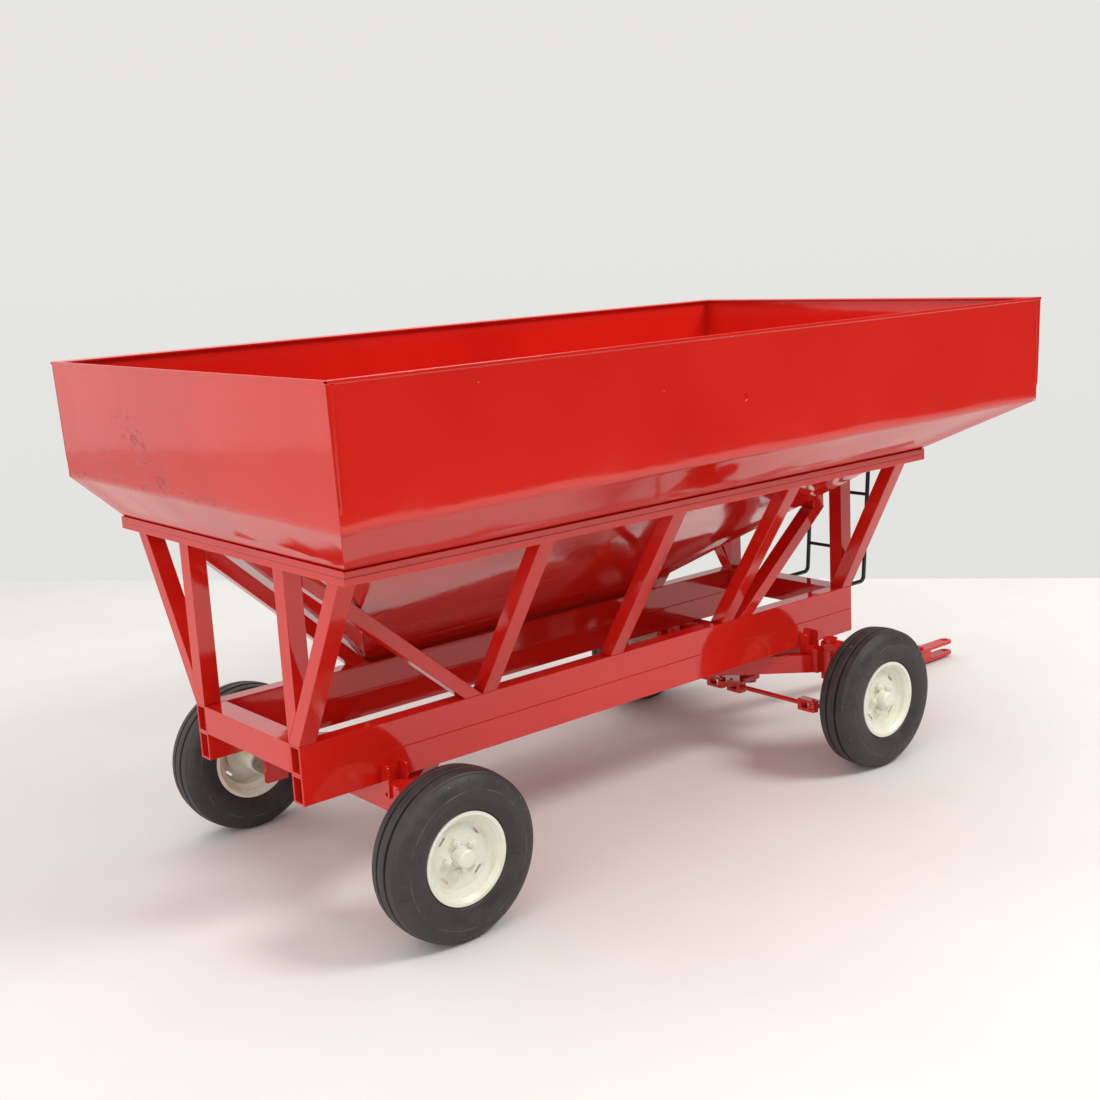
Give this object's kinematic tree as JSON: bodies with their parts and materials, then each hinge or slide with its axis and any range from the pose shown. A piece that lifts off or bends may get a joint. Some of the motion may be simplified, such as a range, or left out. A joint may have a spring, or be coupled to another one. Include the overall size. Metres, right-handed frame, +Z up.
{
  "type": "gravity wagon",
  "caption": "Scale gravity wagon: open sheet grain box over a sloped hopper with a geared side gate, on a tube frame with steered front axle and drawbar.",
  "frame": {"origin": "on the floor, on the centreline, halfway between the back of the box and the tip of the hitch", "axes": "+X towards the hitch, +Y towards the discharge side, +Z up"},
  "size_m": [0.819, 0.3746, 0.3689],
  "materials": {
    "red_enamel": "gloss brushed enamel",
    "cream_enamel": "gloss cream enamel",
    "black_enamel": "gloss black enamel",
    "tyre_rubber": "matt rubber",
    "plain_steel": "turned steel"
  },
  "bodies": {
    "wagon": {"sill_right_lower": "red_enamel", "sill_right_upper": "red_enamel", "sill_left_lower": "red_enamel", "sill_left_upper": "red_enamel", "end_cross_members": "red_enamel", "side_rails": "red_enamel", "end_rails": "red_enamel", "side_posts": "red_enamel", "corner_posts": "red_enamel", "end_posts": "red_enamel", "diagonal_braces": "red_enamel", "brace_crossbar": "red_enamel", "box_right": "red_enamel", "box_left": "red_enamel", "box_rear": "red_enamel", "box_front": "red_enamel", "hopper_right": "red_enamel", "hopper_left": "red_enamel", "hopper_rear": "red_enamel", "hopper_front": "red_enamel", "hopper_floor": "red_enamel", "gate_guides": "red_enamel", "chute": "red_enamel", "ladder": "black_enamel", "rear_axle_beam": "red_enamel", "rear_spindles": "plain_steel", "front_axle_beam": "red_enamel", "hounds": "red_enamel", "reach_tube": "red_enamel", "stake_brackets": "red_enamel", "steering_pins": "red_enamel"},
    "gate": {"gate": "red_enamel"},
    "gate_shaft": {"pinion_shaft": "plain_steel", "hand_wheel": "red_enamel"},
    "steering": {"steering_yoke": "red_enamel", "tongue_pin": "red_enamel"},
    "tongue": {"tongue": "red_enamel", "hitch_plates": "red_enamel", "hitch_bolts": "red_enamel"},
    "knuckle_right": {"knuckle_right": "red_enamel"},
    "knuckle_left": {"knuckle_left": "red_enamel"},
    "tie_rod_right": {"tie_rod_right": "red_enamel"},
    "tie_rod_left": {"tie_rod_left": "red_enamel"},
    "wheel_rear_right": {"tyre_rear_right": "tyre_rubber", "rim_rear_right": "cream_enamel", "hub_rear_right": "cream_enamel", "lug_nuts_rear_right": "cream_enamel"},
    "wheel_rear_left": {"tyre_rear_left": "tyre_rubber", "rim_rear_left": "cream_enamel", "hub_rear_left": "cream_enamel", "lug_nuts_rear_left": "cream_enamel"},
    "wheel_front_right": {"tyre_front_right": "tyre_rubber", "rim_front_right": "cream_enamel", "hub_front_right": "cream_enamel", "lug_nuts_front_right": "cream_enamel"},
    "wheel_front_left": {"tyre_front_left": "tyre_rubber", "rim_front_left": "cream_enamel", "hub_front_left": "cream_enamel", "lug_nuts_front_left": "cream_enamel"}
  },
  "joints": [
    {"name": "tongue_steer", "type": "hinge", "parent": "wagon", "child": "steering", "pos_m": [0.1125, 0, 0.048], "axis": [0, 0, 1], "range_deg": [-25, 25]},
    {"name": "knuckle_right_turn", "type": "hinge", "parent": "wagon", "child": "knuckle_right", "pos_m": [0.1125, -0.092, 0.057], "axis": [0, 0, 1], "range_deg": [-25, 25]},
    {"name": "tie_rod_right_turn", "type": "hinge", "parent": "steering", "child": "tie_rod_right", "pos_m": [0.0825, -0.006, 0.048], "axis": [0, 0, 1], "range_deg": [-25, 25]},
    {"name": "knuckle_left_turn", "type": "hinge", "parent": "wagon", "child": "knuckle_left", "pos_m": [0.1125, 0.092, 0.057], "axis": [0, 0, 1], "range_deg": [-25, 25]},
    {"name": "tie_rod_left_turn", "type": "hinge", "parent": "steering", "child": "tie_rod_left", "pos_m": [0.0825, 0.006, 0.048], "axis": [0, 0, 1], "range_deg": [-25, 25]},
    {"name": "tongue_lift", "type": "hinge", "parent": "steering", "child": "tongue", "pos_m": [0.1365, 0, 0.06], "axis": [0, -1, 0], "range_deg": [0, 50]},
    {"name": "wheel_rear_right_spin", "type": "hinge", "parent": "wagon", "child": "wheel_rear_right", "pos_m": [-0.3134, -0.1374, 0.057], "axis": [0, 1, 0], "continuous": true},
    {"name": "wheel_rear_left_spin", "type": "hinge", "parent": "wagon", "child": "wheel_rear_left", "pos_m": [-0.3134, 0.1374, 0.057], "axis": [0, 1, 0], "continuous": true},
    {"name": "wheel_front_right_spin", "type": "hinge", "parent": "knuckle_right", "child": "wheel_front_right", "pos_m": [0.1125, -0.1374, 0.057], "axis": [0, 1, 0], "continuous": true},
    {"name": "wheel_front_left_spin", "type": "hinge", "parent": "knuckle_left", "child": "wheel_front_left", "pos_m": [0.1125, 0.1374, 0.057], "axis": [0, 1, 0], "continuous": true},
    {"name": "gate_slide", "type": "slide", "parent": "wagon", "child": "gate", "axis": [0, 0.3914, 0.9202], "range_m": [0, 0.048]},
    {"name": "hand_wheel_turn", "type": "hinge", "parent": "wagon", "child": "gate_shaft", "pos_m": [-0.0995, 0.12375, 0.18052], "axis": [-1, 0, 0], "range_deg": [0, 458.37]}
  ],
  "couplings": [
    {"joint": "knuckle_right_turn", "follows": "tongue_steer", "ratio": 1},
    {"joint": "tie_rod_right_turn", "follows": "tongue_steer", "ratio": -1},
    {"joint": "knuckle_left_turn", "follows": "tongue_steer", "ratio": 1},
    {"joint": "tie_rod_left_turn", "follows": "tongue_steer", "ratio": -1},
    {"joint": "hand_wheel_turn", "follows": "gate_slide", "rad_per_m": 166.67}
  ]
}
